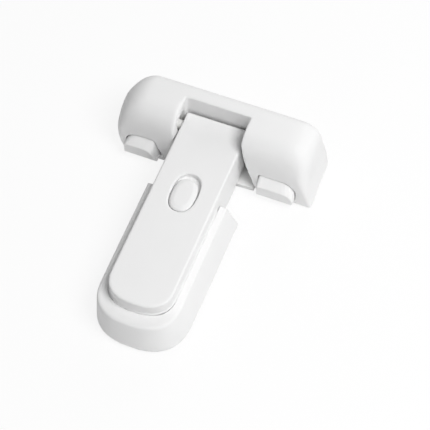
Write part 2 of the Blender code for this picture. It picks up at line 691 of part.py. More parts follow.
def arm_cover(finish):
    def level(z, inset=0.0, reach=ARM_REACH):
        half = ARM_HALF + ARM_SIDE_DRAFT * (1 - z / ARM_TOP) - inset
        return [(x, y, z) for x, y in arm_plan(half, reach - inset, ARM_TAIL + ARM_WALL)]

    keel = ARM_REACH - KEEL_INSET
    step = LEDGE_TOP - GAP
    soft = ARM_EDGE_RADIUS
    rings = [level(0.0, reach=keel), level(step - GAP, reach=keel), level(step)]
    rings += [level(ARM_TOP - soft + soft * b, soft * (1 - a)) for a, b in arc((0, 0), 1.0, 0, 90, 3)]
    cover = part("arm_cover", loft(rings), finish)
    combine(cover, helper("trim_arm_side", across(arm_side_view(), BEYOND)), "INTERSECT")
    inside = arm_plan(ARM_HALF - ARM_WALL, keel - ARM_WALL, ARM_TAIL - ARM_WALL)
    hollow = helper("cut_arm_hollow", upright(inside, -BEYOND, ARM_CEILING))
    half_block = RECESS_LENGTH / 2 + ARM_WALL
    block = box((-BEYOND, RECESS_CENTRE - half_block, RECESS_FLOOR_FOOT),
                (BEYOND, RECESS_CENTRE + half_block, BEYOND))
    combine(hollow, helper("keep_recess_floor", block), "DIFFERENCE")
    stop = DETENT_FAR + DETENT_THICKNESS / 2 + GAP
    for end in (-1, 1):
        y = SLIDER_CENTRE + end * CARRIAGE_LENGTH / 2
        rib = box((stop, y - ARM_WALL / 2, CARRIAGE_FOOT), (BEYOND, y + ARM_WALL / 2, BEYOND))
        combine(hollow, helper(f"keep_detent_rib_{end + 1}", rib), "DIFFERENCE")
    plate_top = KEEL_FOOT + ARM_PLATE_THICKNESS + 2 * GAP
    combine(hollow, posts("keep_arm_posts", ARM_POSTS, plate_top, BEYOND), "DIFFERENCE")
    for side, word in SIDES:
        boss = rod((side * (ARM_HALF - ARM_WALL - PIVOT_BOSS_LENGTH), 0, PIVOT_HEIGHT),
                   (side * ARM_WIDTH, 0, PIVOT_HEIGHT), PIVOT_BOSS_RADIUS)
        combine(hollow, helper(f"keep_pivot_boss_{word}", boss), "DIFFERENCE")
    combine(cover, hollow, "DIFFERENCE")
    bore = rod((-BEYOND, 0, PIVOT_HEIGHT), (BEYOND, 0, PIVOT_HEIGHT), PIN_RADIUS + PIN_CLEARANCE)
    combine(cover, helper("cut_pivot_bore", bore), "DIFFERENCE")
    recess = upright(oval(RECESS_CENTRE, RECESS_LENGTH, RECESS_WIDTH), RECESS_FLOOR_TOP, BEYOND)
    combine(cover, helper("cut_recess", recess), "DIFFERENCE")
    half_stem = STEM_LENGTH / 2 + GAP
    stem_slot = box((-STEM_WIDTH / 2 - GAP, SLIDER_CENTRE - half_stem, -BEYOND),
                    (STEM_WIDTH / 2 + GAP, SLIDER_CENTRE + half_stem + SLIDER_STROKE, BEYOND))
    combine(cover, helper("cut_stem_slot", stem_slot), "DIFFERENCE")
    combine(cover, screw_holes("cut_arm_screws", ARM_POSTS, KEEL_FOOT + GAP), "DIFFERENCE")
    return cover


def arm_bottom_plate(finish):
    keel = ARM_REACH - KEEL_INSET - ARM_WALL - GAP
    foot = KEEL_FOOT + GAP
    tail = -(HEAD_FRONT + TONGUE_REACH + ARM_WALL)
    plan = arm_plan(ARM_HALF - ARM_WALL - GAP, keel, tail)
    plate = part("arm_bottom_plate", upright(plan, foot, foot + ARM_PLATE_THICKNESS), finish)
    half = CATCH_WIDTH / 2 + 3 * SWING_GAP
    start = -BASE_START + CATCH_THICKNESS + ARM_WALL + CATCH_LIP
    end = HOOK_NOSE_TIP - HOOK_NOSE - HOOK_THICKNESS - CATCH_LIP
    opening = box((-half, end, -BEYOND), (half, start, BEYOND))
    combine(plate, helper("cut_catch_opening", opening), "DIFFERENCE")
    return combine(plate, screw_holes("cut_arm_plate_screws", ARM_POSTS, foot), "DIFFERENCE")


def slider_button(finish):
    foot = RECESS_FLOOR_TOP + GAP
    rim = ARM_TOP - GAP
    heights = [(foot, 0.0), (rim - SLIDER_CROWN / 2, 0.0), (rim, SLIDER_CROWN / 3),
               (rim + SLIDER_CROWN / 2, SLIDER_CROWN), (rim + SLIDER_CROWN, 3 * SLIDER_CROWN)]
    rings = [[(x, y, z) for x, y in oval(SLIDER_CENTRE, SLIDER_LENGTH, SLIDER_WIDTH, inset)]
             for z, inset in heights]
    made = part("slider_button", loft(rings), finish)
    stem = box((-STEM_WIDTH / 2, SLIDER_CENTRE - STEM_LENGTH / 2, CARRIAGE_FOOT + GAP),
               (STEM_WIDTH / 2, SLIDER_CENTRE + STEM_LENGTH / 2, foot + GAP))
    return combine(made, helper("add_stem", stem), "UNION")


def slider_carriage(finish):
    """The plate that the thumb piece is pressed into, with its hook and the two notches for the detent."""
    half = CARRIAGE_WIDTH / 2
    low, high = SLIDER_CENTRE - CARRIAGE_LENGTH / 2, SLIDER_CENTRE + CARRIAGE_LENGTH / 2
    edge = [(half, low)]
    for y in (SLIDER_CENTRE - SLIDER_STROKE, SLIDER_CENTRE):
        edge += [(half, y - SLIDER_STROKE / 2 + GLUE_GAP), (half - DETENT_BUMP, y),
                 (half, y + SLIDER_STROKE / 2 - GLUE_GAP)]
    plan = edge + [(half, high), (-half, high), (-half, low)]
    made = part("slider_carriage", upright(plan, CARRIAGE_FOOT, CARRIAGE_TOP), finish)
    socket = box((-STEM_WIDTH / 2 - GAP, SLIDER_CENTRE - STEM_LENGTH / 2 - GAP, -BEYOND),
                 (STEM_WIDTH / 2 + GAP, SLIDER_CENTRE + STEM_LENGTH / 2 + GAP, BEYOND))
    combine(made, helper("cut_stem_socket", socket), "DIFFERENCE")
    nose_top = CATCH_TOP - CATCH_THICKNESS - GAP
    back = HOOK_NOSE_TIP - HOOK_NOSE
    rear = back - HOOK_THICKNESS
    nose_foot = nose_top - CATCH_THICKNESS
    hook = [(rear, CARRIAGE_FOOT + GAP), (rear, nose_foot), (HOOK_NOSE_TIP - HOOK_NOSE / 4, nose_foot),
            (HOOK_NOSE_TIP, nose_top - GAP), (HOOK_NOSE_TIP, nose_top), (back, nose_top),
            (back, CARRIAGE_FOOT + GAP)]
    return combine(made, helper("add_hook", across(hook, HOOK_WIDTH / 2)), "UNION")


def detent_spring(finish):
    """A bent strip beside the carriage, between two ribs of the arm, with its bump in a notch."""
    half = CARRIAGE_LENGTH / 2
    reach = SLIDER_STROKE / 2
    slack = DETENT_NEAR + GAP
    bump = DETENT_NEAR - DETENT_BUMP + GAP
    route = [(DETENT_FAR, -half), (slack, -half / 2), (DETENT_NEAR, -reach), (bump, 0),
             (DETENT_NEAR, reach), (slack, half / 2), (DETENT_FAR, half)]
    bm = bmesh.new()
    foot, height = CARRIAGE_FOOT + GAP, CARRIAGE_THICKNESS - 2 * GAP
    line = [bm.verts.new((x, SLIDER_CENTRE + y, foot)) for x, y in route]
    edges = [bm.edges.new(pair) for pair in zip(line, line[1:])]
    pulled = bmesh.ops.extrude_edge_only(bm, edges=edges)["geom"]
    top_line = [v for v in pulled if isinstance(v, bmesh.types.BMVert)]
    bmesh.ops.translate(bm, verts=top_line, vec=(0, 0, height))
    made = part("slider_detent_spring", bm, finish)
    thick = made.modifiers.new("thickness", "SOLIDIFY")
    thick.thickness = DETENT_THICKNESS
    thick.offset = 0.0
    thick.use_even_offset = True
    return made


def base_plan(share, inset=0.0):
    """The base's outline, open towards the head: share 0 at the ledge, 1 at the wider foot."""
    half = ARM_HALF + LEDGE_WIDTH + share * BASE_FLARE - inset
    start = share * BASE_START_FLARE - BASE_START - inset
    reach = ARM_REACH + LEDGE_END + share * BASE_END_FLARE - inset
    depth = BASE_END_DEPTH + share * (BASE_FOOT_END_DEPTH - BASE_END_DEPTH) - inset
    plan = round_end(half, reach, depth) + [(-half, start), (half, start)]
    return [(x + share * BASE_LEAN, y) for x, y in plan]


def base_shell(finish):
    soft = LEDGE_EDGE_RADIUS
    levels = [(PLATE_FOOT, base_plan(1))]
    levels += [(LEDGE_TOP - soft + b, base_plan(0, -a)) for a, b in arc((0, 0), soft, 0, 90, 3)]
    rings = [[(x, y, z) for x, y in plan] for z, plan in levels]
    shell = part("base_shell", loft(rings), finish)
    tray_half = ARM_FOOT_HALF + GAP
    tray = arm_plan(tray_half, TRAY_END, BEYOND)
    combine(shell, helper("cut_tray", upright(tray, -BEYOND, BEYOND)), "DIFFERENCE")
    bed = upright(base_plan(BED_SHARE, BASE_RIM - GAP), -BEYOND, BASE_PLATE_TOP + GAP)
    combine(shell, helper("cut_base_plate_bed", bed), "DIFFERENCE")
    inside = base_plan(0.5, BASE_WALL / 2)
    core = helper("cut_base_core", upright(inside, -BEYOND, LEDGE_TOP / 2))
    wall = arm_plan(tray_half + BASE_WALL, TRAY_END + BASE_WALL, BEYOND)
    combine(core, helper("keep_tray_wall", upright(wall, -2 * BEYOND, BEYOND)), "DIFFERENCE")
    rail_end = -BASE_START - BASE_WALL
    combine(core, helper("keep_rail_ends", box((-BEYOND, rail_end, -2 * BEYOND), (BEYOND, BEYOND, BEYOND))),
            "DIFFERENCE")
    combine(core, posts("keep_base_posts", BASE_POSTS, BASE_PLATE_TOP + GAP, BEYOND), "DIFFERENCE")
    combine(shell, core, "DIFFERENCE")
    combine(shell, screw_holes("cut_base_screws", BASE_POSTS, PLATE_FOOT), "DIFFERENCE")
    return shell


def base_bottom_plate(finish):
    plan = base_plan(BED_SHARE, BASE_RIM)
    plate = part("base_bottom_plate", upright(plan, PLATE_FOOT, BASE_PLATE_TOP), finish)
    return combine(plate, screw_holes("cut_base_plate_screws", BASE_POSTS, PLATE_FOOT), "DIFFERENCE")


def base_catch(finish):
    """The keeper: a foot on the bottom plate and a post whose lip the hook goes under."""
    foot = BASE_PLATE_TOP + GAP
    post = -BASE_START
    heel = HOOK_NOSE_TIP - HOOK_NOSE - HOOK_THICKNESS
    view = [(heel, foot), (post + CATCH_THICKNESS, foot), (post + CATCH_THICKNESS, CATCH_TOP),
            (post - CATCH_LIP, CATCH_TOP), (post - CATCH_LIP, CATCH_TOP - CATCH_THICKNESS),
            (post, CATCH_TOP - CATCH_THICKNESS), (post, foot + CATCH_THICKNESS - GAP),
            (heel, foot + CATCH_THICKNESS - GAP)]
    return part("base_catch", across(view, CATCH_WIDTH / 2), finish)


def pads(finish):
    head = part("head_adhesive_pad", upright(head_plate_plan(PAD_MARGIN), 0.0, PAD_THICKNESS), finish)
    plan = base_plan(BED_SHARE, BASE_RIM + PAD_MARGIN)
    base = part("base_adhesive_pad", upright(plan, 0.0, PAD_THICKNESS), finish)
    return head, base


def pivot(name, place, pieces):
    """An empty on a joint's axis that carries the pieces which move together."""
    made = bpy.data.objects.new(name, None)
    made.location = place
    made.empty_display_size = PIN_RADIUS
    parts.objects.link(made)
    for piece in pieces:
        piece.parent = made
        piece.matrix_parent_inverse = Matrix.Translation(place).inverted()
    return made


SIDES = ((-1, "left"), (1, "right"))

for old in list(bpy.data.objects):
    bpy.data.objects.remove(old, do_unlink=True)
parts = collection("refrigerator_safety_lock")
cutters = collection("cutters")

white = material("white_plastic", (0.86, 0.86, 0.86), 0.45)
inner_white = material("inner_plastic", (0.80, 0.80, 0.80), 0.55)
acetal = material("bolt_plastic", (0.90, 0.90, 0.88), 0.35)
steel = material("spring_steel", (0.62, 0.63, 0.65), 0.30, 1.0)
foam = material("foam_tape", (0.75, 0.75, 0.74), 0.90)

head_shell(white)
head_back_plate(inner_white)
screws("head_screw", HEAD_POSTS, PLATE_FOOT, steel)
for side, word in SIDES:
    middle = side * (BUTTON_INNER + BUTTON_OUTER[side]) / 2
    pivot(f"{word}_button_axis", (middle, 0, BUTTON_TOP / 2), [button(side, word, white)])
    pivot(f"{word}_bolt_axis", (side * BOLT_INNER, 0, PIVOT_HEIGHT), [pivot_bolt(side, word, acetal)])
    bolt_spring(side, word, steel)

slider_pieces = [slider_button(white), slider_carriage(acetal)]
slider_axis = pivot("slider_axis", (0, SLIDER_CENTRE, CARRIAGE_TOP), slider_pieces)
arm_pieces = [arm_cover(white), arm_bottom_plate(inner_white), detent_spring(steel),
              slider_axis] + screws("arm_screw", ARM_POSTS, KEEL_FOOT + GAP, steel)
pivot("arm_axis", (0, 0, PIVOT_HEIGHT), arm_pieces)

base_shell(white)
base_bottom_plate(inner_white)
base_catch(acetal)
screws("base_screw", BASE_POSTS, PLATE_FOOT, steel)
pads(foam)
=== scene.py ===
"""Studio scene for the refrigerator safety lock: softened mouldings, finishes, lights and camera."""
import json
import math

import bpy
from mathutils import Matrix, Vector


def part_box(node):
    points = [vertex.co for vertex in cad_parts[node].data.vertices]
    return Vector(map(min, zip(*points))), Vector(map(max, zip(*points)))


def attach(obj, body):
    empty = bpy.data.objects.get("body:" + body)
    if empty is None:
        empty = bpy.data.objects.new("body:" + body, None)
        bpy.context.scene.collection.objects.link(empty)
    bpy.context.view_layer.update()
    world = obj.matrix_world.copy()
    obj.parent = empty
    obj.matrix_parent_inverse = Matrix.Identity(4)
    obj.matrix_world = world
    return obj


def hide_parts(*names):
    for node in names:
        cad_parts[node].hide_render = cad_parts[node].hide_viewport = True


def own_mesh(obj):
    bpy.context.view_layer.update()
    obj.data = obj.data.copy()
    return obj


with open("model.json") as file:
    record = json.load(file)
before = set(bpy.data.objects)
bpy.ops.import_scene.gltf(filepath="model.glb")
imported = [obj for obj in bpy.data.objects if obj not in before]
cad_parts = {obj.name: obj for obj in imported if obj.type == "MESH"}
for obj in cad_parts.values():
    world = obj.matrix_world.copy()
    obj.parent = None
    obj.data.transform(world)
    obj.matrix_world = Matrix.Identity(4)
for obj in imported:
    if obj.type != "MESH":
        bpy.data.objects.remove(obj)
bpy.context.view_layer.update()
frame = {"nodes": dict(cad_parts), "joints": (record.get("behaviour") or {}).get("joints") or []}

bl_info = {
    "name": "Refrigerator Safety Lock",
    "version": (1, 0, 0),
    "blender": (4, 5, 0),
    "location": "View3D > Sidebar > Safety Lock",
    "description": "Softened mouldings, finishes and a studio for the refrigerator safety lock",
    "category": "Object",
}

SIDES = {"left": -1, "right": 1}
JOINTS = {joint["name"]: joint for joint in frame["joints"]}
HINGE = JOINTS["arm_swing"]["pos_m"]

# Joining, rounding and thinning of the mouldings
WELD_REACH = 0.000002
SMOOTHING_PACE = 0.5
FLAT_ANGLE = math.radians(0.5)
SHARP_ANGLE = math.radians(28)
SMOOTH_ANGLE = math.radians(32)
EDGE_SEGMENTS = 3
HEAD_KEEP = 0.5
ARM_KEEP = 0.55
BASE_KEEP = 0.6
BUTTON_KEEP = 0.6

# Head cover: where each zone is softened, and the length over which it fades in
WINDOW_DROP = 0.001
WINDOW_START = 0.0185
WINDOW_DEPTH = 0.004
WINDOW_PACE = 0.2
RIM_FADE = 0.004
RIM_FOOT = 0.0015
RIM_FOOT_FADE = 0.003
RIM_BACK = 0.001
CROWN_START = 0.020
CROWN_FADE = 0.004
CROWN_RISE = 0.001
CROWN_RISE_FADE = 0.003
LEFT_BACK_START = 0.027
RIGHT_BACK_START = 0.033
BACK_DEPTH = 0.002
BACK_FADE = 0.004
EVEN_PASSES = 5
RIM_PASSES = 110
CROWN_PASSES = 30
BACK_PASSES = 140

# Head cover: the slot's left wall that is drawn in, and the right end's hollow that is filled
MOUTH_INSET = 0.0003
MOUTH_SPAN = 0.0075
MOUTH_DEPTH = 0.004
MOUTH_FOOT = 0.0025
MOUTH_FOOT_FADE = 0.003
MOUTH_TOP = 0.0225
MOUTH_TOP_FADE = 0.004
WAIST_START = 0.034
WAIST_FACING = 0.1
WAIST_SPREAD = 0.005
WAIST_FRONT = 0.001
WAIST_FADE = 0.008

# Arm cover and thumb piece: passes, and the band of the arm's wall that comes up to the tray
ARM_PASSES = 3
THUMB_PASSES = 12
SIDE_BAND = 0.0012
END_BAND = 0.012
UPRIGHT_SHARE = 0.7
LEDGE_EDGE = 0.0002
BAND_TOP = 0.0006
BAND_FOOT = 0.0020
BAND_FOOT_FADE = 0.0008
TRAY_FADE = 0.003
LIP_HEIGHT = 0.0005

# Base: passes, and the outer wall whose edge is rounded, most at the end
BASE_PASSES = 6
WALL_PASSES = 40
ARM_END_DEPTH = 0.0105
WALL_START = 0.0012
WALL_FADE = 0.0010
WALL_FOOT = 0.0006
WALL_FOOT_FADE = 0.0012
END_START = 0.018
END_FADE = 0.006
SIDE_PACE = 0.35
OPEN_END = 0.002
OPEN_END_FADE = 0.006

# Return coils
COIL_SECTION = 10
COIL_STEPS = 28
COIL_SMOOTH_ANGLE = math.radians(50)

# Finishes: darkest and palest share of a colour, depth of the fine surface, the foam's cells
MOTTLE_SHARES = (0.985, 1.012)
FOAM_SHARES = (0.82, 1.05)
SURFACE_DEPTH = 0.0001
FOAM_CELLS = 3500.0
FOAM_ROUGHNESS = 0.9
FOAM_BUMP = 0.5

# Stage: paper and room, the lamps' places and watts, the camera's turn in degrees
PAPER_SIZE = 8.0
PAPER_GLOW = 0.86
ROOM_LIGHT = 0.23
LAMP_SIZE = 0.40
LAMP_AIM = Vector((0, -0.03, 0.012))
LAMPS = {
    "key_light": ((0.366, -0.094, 0.606), 3.90),
    "back_light": ((0.0, 0.604, 0.308), 1.10),
    "front_light": ((0.0, -0.664, 0.308), 0.45),
}
CAMERA_PLACE = (0.162601, -0.336164, 0.611497)
CAMERA_TURN = (29.5688, 2.3487, 22.0028)
CAMERA_LENS = 155.736
CAMERA_SENSOR = 36.0
CAMERA_NEAR = 0.01
CAMERA_FAR = 20.0
PURE_WHITE = (1.0, 1.0, 1.0, 1.0)


class LockSizes(bpy.types.PropertyGroup):
    """Sizes of the softened mouldings and small metal pieces."""
    head_skin: bpy.props.FloatProperty(
        name="Head Skin", description="Grain of the head cover's even skin",
        default=0.00036, subtype="DISTANCE", unit="LENGTH", precision=5)
    mouth_spread: bpy.props.FloatProperty(
        name="Mouth Spread", description="How far the slot's left mouth opens towards the door",
        default=0.0045, subtype="DISTANCE", unit="LENGTH", precision=5)
    mouth_height: bpy.props.FloatProperty(
        name="Mouth Height", description="Height at which the slot's mouth starts to open",
        default=0.0245, subtype="DISTANCE", unit="LENGTH", precision=5)
    waist_height: bpy.props.FloatProperty(
        name="Waist Height", description="Height of the fullest part of the head's right end",
        default=0.010, subtype="DISTANCE", unit="LENGTH", precision=5)
    waist_fill: bpy.props.FloatProperty(
        name="Waist Fill", description="How far the head's right end is filled out there",
        default=0.0009, subtype="DISTANCE", unit="LENGTH", precision=5)
    mouth_drawing: bpy.props.FloatProperty(
        name="Mouth Drawing", description="How strongly the slot's left wall is drawn towards the arm",
        default=1.8, min=1.0)
    arm_skin: bpy.props.FloatProperty(
        name="Arm Skin", description="Grain of the arm's and the base's even skin",
        default=0.00032, subtype="DISTANCE", unit="LENGTH", precision=5)
    thumb_skin: bpy.props.FloatProperty(
        name="Thumb Skin", description="Grain of the thumb piece's and the buttons' even skin",
        default=0.00018, subtype="DISTANCE", unit="LENGTH", precision=5)
    side_closing: bpy.props.FloatProperty(
        name="Side Closing", description="How far the arm's sides come towards the tray",
        default=0.00038, subtype="DISTANCE", unit="LENGTH", precision=5)
    end_closing: bpy.props.FloatProperty(
        name="End Closing", description="How far the arm's end comes towards the tray",
        default=0.00041, subtype="DISTANCE", unit="LENGTH", precision=5)
    ledge_lip: bpy.props.FloatProperty(
        name="Ledge Lip", description="How far the arm's wall swells where it meets the ledge",
        default=0.00018, subtype="DISTANCE", unit="LENGTH", precision=5)
    eased_edge: bpy.props.FloatProperty(
        name="Eased Edge", description="Width of the eased edges on small mouldings",
        default=0.0003, subtype="DISTANCE", unit="LENGTH", precision=5)
    button_passes: bpy.props.IntProperty(
        name="Button Rounding", description="Smoothing passes on the finger buttons' edges",
        default=2, min=1)
    coil_wire: bpy.props.FloatProperty(
        name="Coil Wire", description="Radius of the return coils' wire",
        default=0.0003, subtype="DISTANCE", unit="LENGTH", precision=5)
    coil_radius: bpy.props.FloatProperty(
        name="Coil Radius", description="Radius of the return coils at the wire's middle",
        default=0.0017, subtype="DISTANCE", unit="LENGTH", precision=5)
    coil_turns: bpy.props.IntProperty(
        name="Coil Turns", description="Turns in each return coil",
        default=4, min=2)


class LockColours(bpy.types.PropertyGroup):
    """Colours of the finishes and the stage."""
    cover_white: bpy.props.FloatVectorProperty(
        name="Cover White", description="White plastic of the covers and buttons",
        default=(0.83, 0.83, 0.83), subtype="COLOR", min=0, max=1)
    inner_white: bpy.props.FloatVectorProperty(
        name="Inner White", description="White plastic of the plates",
        default=(0.78, 0.78, 0.775), subtype="COLOR", min=0, max=1)
    bolt_white: bpy.props.FloatVectorProperty(
        name="Bolt White", description="Smooth plastic of bolts, hook and catch",
        default=(0.84, 0.84, 0.825), subtype="COLOR", min=0, max=1)
    wire_steel: bpy.props.FloatVectorProperty(
        name="Wire Steel", description="Steel of coils, strip and screws",
        default=(0.62, 0.63, 0.65), subtype="COLOR", min=0, max=1)
    tape_foam: bpy.props.FloatVectorProperty(
        name="Tape Foam", description="Foam of the adhesive pads",
        default=(0.74, 0.74, 0.73), subtype="COLOR", min=0, max=1)
    floor_white: bpy.props.FloatVectorProperty(
        name="Floor White", description="Paper that the lock lies on",
        default=(0.9, 0.9, 0.9), subtype="COLOR", min=0, max=1)


def sizes():
    return bpy.context.scene.lock_sizes


def colours():
    return bpy.context.scene.lock_colours


def held(*parts):
    """The least of the parts, held between 0 and 1."""
    return min(1.0, max(0.0, min(parts)))


def only(piece):
    """Selects one object and nothing else."""
    bpy.ops.object.select_all(action="DESELECT")
    piece.select_set(True)
    bpy.context.view_layer.objects.active = piece


def applied(piece, name, kind, **settings):
    """Adds a modifier, sets it and applies it."""
    only(piece)
    step = piece.modifiers.new(name, kind)
    for key, value in settings.items():
        setattr(step, key, value)
    bpy.ops.object.modifier_apply(modifier=step.name)


def merged_copy(node, name):
    """A copy of a moulded node with its triangles joined, to be softened."""
    piece = bpy.data.objects.new(name, frame["nodes"][node].data.copy())
    bpy.context.scene.collection.objects.link(piece)
    piece.data.materials.clear()
    only(piece)
    bpy.ops.object.mode_set(mode="EDIT")
    bpy.ops.mesh.select_all(action="SELECT")
    bpy.ops.mesh.remove_doubles(threshold=WELD_REACH)
    bpy.ops.mesh.normals_make_consistent(inside=False)
    bpy.ops.object.mode_set(mode="OBJECT")
    return piece


def weighted(piece, name, weight):
    """A vertex group whose weight at each point comes from weight(place)."""
    group = piece.vertex_groups.new(name=name)
    for point in piece.data.vertices:
        group.add([point.index], weight(point.co), "REPLACE")
    return group.name


def soft_skin(node, name, grain, passes):
    """A moulding with an even skin whose edges are rounded off, in passes of (turns, weight)."""
    piece = merged_copy(node, name)
    applied(piece, "even_skin", "REMESH", mode="VOXEL", voxel_size=grain, use_smooth_shade=True)
    for number, (turns, weight) in enumerate(passes):
        group = weighted(piece, f"soft_{number}", weight) if weight else ""
        applied(piece, f"soft_{number}", "SMOOTH", factor=SMOOTHING_PACE, iterations=turns,
                vertex_group=group)
    piece.vertex_groups.clear()
    return piece


def thinned(piece, keep):
    """Leaves a share of a skin's triangles, and shades it smooth."""
    applied(piece, "thinned", "DECIMATE", ratio=keep)
    only(piece)
    bpy.ops.object.shade_smooth()


def eased_copy(node, name, width):
    """A small moulding with its sharp edges eased."""
    piece = merged_copy(node, name)
    bpy.ops.object.mode_set(mode="EDIT")
    bpy.ops.mesh.select_all(action="SELECT")
    bpy.ops.mesh.dissolve_limited(angle_limit=FLAT_ANGLE)
    bpy.ops.mesh.select_all(action="DESELECT")
    bpy.ops.mesh.select_mode(type="EDGE")
    bpy.ops.mesh.edges_select_sharp(sharpness=SHARP_ANGLE)
    bpy.ops.mesh.bevel(offset=width, segments=EDGE_SEGMENTS, profile=0.5, clamp_overlap=True)
    bpy.ops.mesh.select_all(action="DESELECT")
    bpy.ops.object.mode_set(mode="OBJECT")
    only(piece)
    bpy.ops.object.shade_smooth_by_angle(angle=SMOOTH_ANGLE)
    applied(piece, "even_normals", "WEIGHTED_NORMAL", keep_sharp=True)
    return piece


def standing_for(piece, node, body, finish):
    """Gives a piece its finish and lets it stand for a node on that node's body."""
    piece.data.materials.clear()
    piece.data.materials.append(finish)
    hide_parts(node)
    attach(piece, body)


def shader_node(tree, kind, values=None, **settings):
    """A shader node with its settings and the values of its inputs."""
    made = tree.nodes.new(kind)
    for key, value in settings.items():
        setattr(made, key, value)
    for key, value in (values or {}).items():
        made.inputs[key].default_value = value
    return made


def tinted(colour, factor):
    return tuple(min(1.0, part * factor) for part in colour) + (1.0,)


def two_tone(tree, colour, shares, blend):
    """Blends a colour's darker and paler share into the base colour."""
    tint = shader_node(tree, "ShaderNodeMix", data_type="RGBA")
    tint.inputs[6].default_value = tinted(colour, shares[0])
    tint.inputs[7].default_value = tinted(colour, shares[1])
    tree.links.new(blend, tint.inputs[0])
    tree.links.new(tint.outputs[2], tree.nodes["Principled BSDF"].inputs["Base Color"])


def fine_surface(tree, height, strength):
    """A fine raised surface."""
    relief = shader_node(tree, "ShaderNodeBump", {"Strength": strength, "Distance": SURFACE_DEPTH})
    tree.links.new(height, relief.inputs["Height"])
    tree.links.new(relief.outputs["Normal"], tree.nodes["Principled BSDF"].inputs["Normal"])


def finish(name, colour, roughness, metallic=0.0, shine=0.5, mottle=80.0, grain=2400.0, bump=0.05,
           spread=0.05, stretch=None):
    """A finish with soft mottling, uneven gloss and a fine moulded or drawn surface."""
    found = bpy.data.materials.get(name)
    if found:
        return found
    made = bpy.data.materials.new(name)
    made.use_nodes = True
    tree = made.node_tree
    shader = tree.nodes["Principled BSDF"]
    shader.inputs["Metallic"].default_value = metallic
    shader.inputs["Specular IOR Level"].default_value = shine
    place = shader_node(tree, "ShaderNodeTexCoord").outputs["Object"]
    if stretch:
        drawn = shader_node(tree, "ShaderNodeMapping", {"Scale": stretch})
        tree.links.new(place, drawn.inputs["Vector"])
        place = drawn.outputs["Vector"]
    cloud = shader_node(tree, "ShaderNodeTexNoise", {"Scale": mottle, "Detail": 3.0, "Roughness": 0.55})
    tree.links.new(place, cloud.inputs["Vector"])
    two_tone(tree, colour, MOTTLE_SHARES, cloud.outputs["Fac"])
    fine = shader_node(tree, "ShaderNodeTexNoise", {"Scale": grain, "Detail": 4.0, "Roughness": 0.6})
    tree.links.new(place, fine.inputs["Vector"])
    gloss = shader_node(tree, "ShaderNodeMapRange",
                        {"To Min": roughness - spread, "To Max": roughness + spread})
    tree.links.new(fine.outputs["Fac"], gloss.inputs["Value"])
    tree.links.new(gloss.outputs["Result"], shader.inputs["Roughness"])
    fine_surface(tree, fine.outputs["Fac"], bump)
    return made


def foam(name, colour):
    """Closed-cell foam: small round cells between paler walls."""
    made = bpy.data.materials.new(name)
    made.use_nodes = True
    tree = made.node_tree
    tree.nodes["Principled BSDF"].inputs["Roughness"].default_value = FOAM_ROUGHNESS
    place = shader_node(tree, "ShaderNodeTexCoord").outputs["Object"]
    cells = shader_node(tree, "ShaderNodeTexVoronoi", {"Scale": FOAM_CELLS})
    tree.links.new(place, cells.inputs["Vector"])
    two_tone(tree, colour, FOAM_SHARES, cells.outputs["Distance"])
    fine_surface(tree, cells.outputs["Distance"], FOAM_BUMP)
    return made


def cover_finish():
    return finish("cover_white", colours().cover_white, roughness=0.50, shine=0.2)


def inner_finish():
    return finish("inner_white", colours().inner_white, roughness=0.58, bump=0.08)


def bolt_finish():
    return finish("bolt_white", colours().bolt_white, roughness=0.34, bump=0.02, spread=0.03)


def steel_finish():
    return finish("drawn_steel", colours().wire_steel, roughness=0.30, metallic=1.0, mottle=300.0,
                  grain=1500.0, bump=0.04, spread=0.08, stretch=(0.25, 1.0, 1.0))


